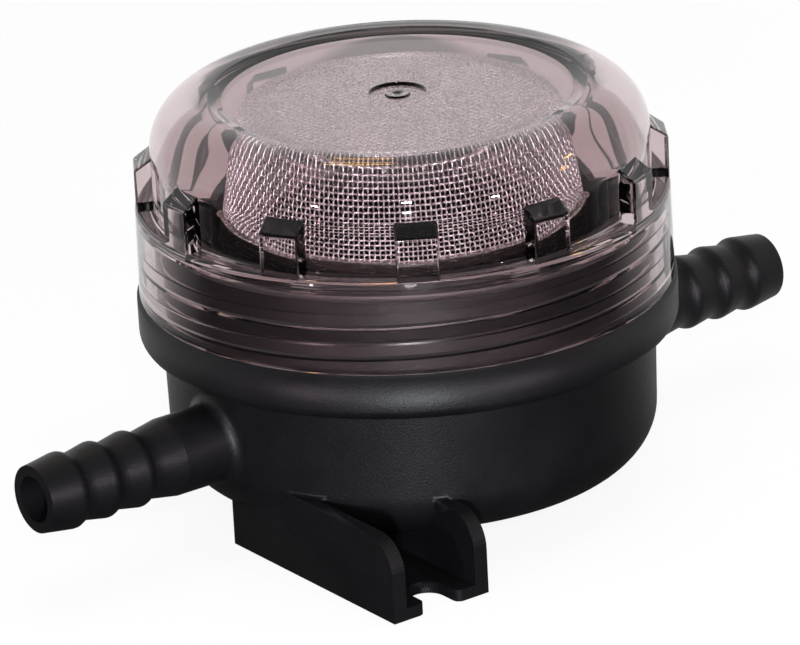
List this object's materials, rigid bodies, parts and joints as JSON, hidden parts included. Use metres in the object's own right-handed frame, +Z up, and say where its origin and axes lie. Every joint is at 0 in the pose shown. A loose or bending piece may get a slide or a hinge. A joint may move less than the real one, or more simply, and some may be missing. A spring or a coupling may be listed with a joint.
{
  "type": "sea water strainer",
  "caption": "In-line sea water strainer: black moulded housing with barbed hose tails and slotted feet, clear screw-on cover with grip lugs, and a stainless mesh screen.",
  "frame": {"origin": "on the round body's axis, at the underside of the feet", "axes": "+Z up along the body's axis, +X along the hose tails towards the outlet"},
  "size_m": [0.143, 0.0848, 0.0665],
  "materials": {
    "black_plastic": "injection-moulded black plastic, satin, fine grain",
    "clear_plastic": "clear moulded plastic with a faint smoky pink tint",
    "seal_rubber": "moulded black rubber",
    "stainless": "pressed stainless steel",
    "stainless_mesh": "woven stainless wire"
  },
  "bodies": {
    "housing": {"housing": "black_plastic", "screen_gasket": "seal_rubber", "screen_rim": "stainless", "screen_mesh": "stainless_mesh"},
    "seal": {"cover_seal": "seal_rubber"},
    "cover": {"cover": "clear_plastic"}
  },
  "joints": [
    {"name": "cover_lift", "type": "slide", "parent": "housing", "child": "seal", "axis": [0, 0, 1], "range_m": [0, 0.0113]},
    {"name": "cover_turn", "type": "hinge", "parent": "seal", "child": "cover", "pos_m": [0, 0, 0.05], "axis": [0, 0, 1], "range_deg": [0, 810]}
  ],
  "couplings": [
    {"joint": "cover_lift", "follows": "cover_turn", "m_per_rad": 0.00079577}
  ]
}
